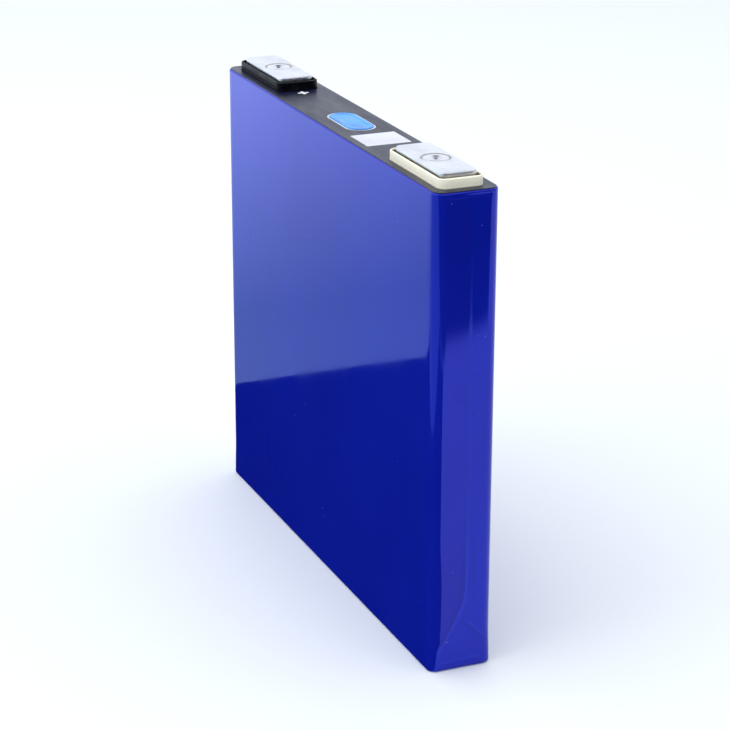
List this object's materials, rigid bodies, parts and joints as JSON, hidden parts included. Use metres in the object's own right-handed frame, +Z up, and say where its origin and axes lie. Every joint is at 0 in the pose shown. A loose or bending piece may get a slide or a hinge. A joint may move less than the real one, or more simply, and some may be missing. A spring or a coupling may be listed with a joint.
{
  "type": "prismatic battery cell",
  "caption": "Thin upright prismatic lithium cell in glossy blue film, with metal terminal pads in plastic trays, a vent and a blank label on its black top patch.",
  "frame": {"origin": "middle of the bottom face, on the floor", "axes": "+Z up through the terminals; +X along the cell's width towards the negative terminal (cream insulator); +Y through its thickness"},
  "size_m": [0.1482, 0.0176, 0.1319],
  "materials": {
    "blue_film": "glossy dyed polyester film",
    "clear_sheet": "translucent polyester sheet",
    "black_patch": "satin black polycarbonate sheet with white polarity marks",
    "silver_label": "blank silvery label",
    "can_aluminium": "drawn, matt",
    "lid_aluminium": "stamped, matt",
    "pad_metal": "satin with faint laser and handling marks",
    "negative_post_metal": "turned and plated head",
    "positive_post_metal": "turned head",
    "cream_plastic": "natural moulded engineering plastic",
    "black_plastic": "black moulded engineering plastic",
    "seal_rubber": "fluoro rubber",
    "vent_metal": "satin",
    "petal_metal": "thin scored sheet",
    "vent_film_blue": "bright blue protective film",
    "lower_plastic": "black moulded polypropylene",
    "cap_metal": "satin",
    "copper": "pressed copper",
    "collector_aluminium": "pressed",
    "copper_foil": "pressed stack of copper foils",
    "aluminium_foil": "pressed stack of aluminium foils",
    "weld_tape": "green insulating tape",
    "separator": "white separator over wound electrodes",
    "roll_tape": "green insulating tape",
    "bag_film": "clear polypropylene film",
    "spacer_plastic": "natural moulded polypropylene"
  },
  "bodies": {
    "cell": {"bottom_sheet": "clear_sheet", "bottom_spacer": "spacer_plastic", "can": "can_aluminium", "code_label": "silver_label", "fill_cap": "cap_metal", "fill_plug": "seal_rubber", "insulation_bag": "bag_film", "jelly_roll_front": "separator", "jelly_roll_rear": "separator", "lid": "lid_aluminium", "negative_current_collector": "copper", "negative_insulator": "cream_plastic", "negative_lower_insulator": "lower_plastic", "negative_post": "negative_post_metal", "negative_seal_ring": "seal_rubber", "negative_tab_front": "copper_foil", "negative_tab_rear": "copper_foil", "negative_terminal_pad": "pad_metal", "negative_weld_tape": "weld_tape", "outer_wrap": "blue_film", "positive_current_collector": "collector_aluminium", "positive_insulator": "black_plastic", "positive_lower_insulator": "lower_plastic", "positive_post": "positive_post_metal", "positive_seal_ring": "seal_rubber", "positive_tab_front": "aluminium_foil", "positive_tab_rear": "aluminium_foil", "positive_terminal_pad": "pad_metal", "positive_weld_tape": "weld_tape", "roll_tape_front": "roll_tape", "roll_tape_rear": "roll_tape", "top_patch": "black_patch", "vent_guard": "lower_plastic", "vent_ring": "vent_metal"},
    "vent_flap": {"vent_petal": "petal_metal", "vent_film": "vent_film_blue"}
  },
  "joints": [
    {"name": "vent_burst", "type": "hinge", "parent": "cell", "child": "vent_flap", "pos_m": [0, 0.0039, 0.1284], "axis": [-1, 0, 0], "range_deg": [0, 80]}
  ]
}
